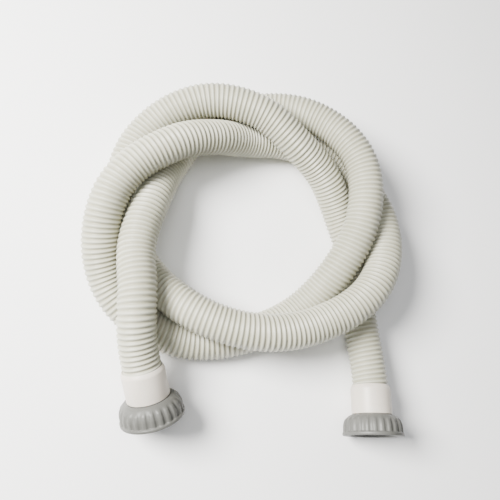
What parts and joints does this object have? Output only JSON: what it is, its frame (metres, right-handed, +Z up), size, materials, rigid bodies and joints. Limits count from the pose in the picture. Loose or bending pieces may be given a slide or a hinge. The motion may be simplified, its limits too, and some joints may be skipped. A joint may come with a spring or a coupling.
{
  "type": "vacuum hose",
  "caption": "Long ribbed hose coiled into a loose wreath, with a smooth cuff and a captive threaded union nut on each end, for a pool or spa vacuum or pump.",
  "frame": {"origin": "centre of the bounding box's base, on the floor under the coiled hose", "axes": "+Z up; the hose ends point towards -Y; +X to the right when seen from above with the ends towards the viewer"},
  "size_m": [0.4091, 0.4526, 0.1038],
  "materials": {
    "hose_plastic": "soft cream plastic, slightly translucent",
    "cuff_plastic": "smooth off-white moulded plastic",
    "tailpiece_plastic": "smooth off-white moulded plastic",
    "washer_rubber": "black rubber",
    "nut_plastic": "grey moulded plastic with a light grain"
  },
  "bodies": {
    "hose": {"hose_wall": "hose_plastic", "cuff_left": "cuff_plastic", "cuff_right": "cuff_plastic", "tailpiece_left": "tailpiece_plastic", "tailpiece_right": "tailpiece_plastic", "washer_left": "washer_rubber", "washer_right": "washer_rubber"},
    "nut_left": {"union_nut_left": "nut_plastic"},
    "nut_right": {"union_nut_right": "nut_plastic"}
  },
  "joints": [
    {"name": "nut_left_spin", "type": "hinge", "parent": "hose", "child": "nut_left", "pos_m": [-0.11534, -0.18194, 0.04096], "axis": [0.2747, -0.8986, -0.342], "continuous": true},
    {"name": "nut_right_spin", "type": "hinge", "parent": "hose", "child": "nut_right", "pos_m": [0.15996, -0.2061, 0.03683], "axis": [-0.0519, -0.9912, 0.1219], "continuous": true}
  ]
}
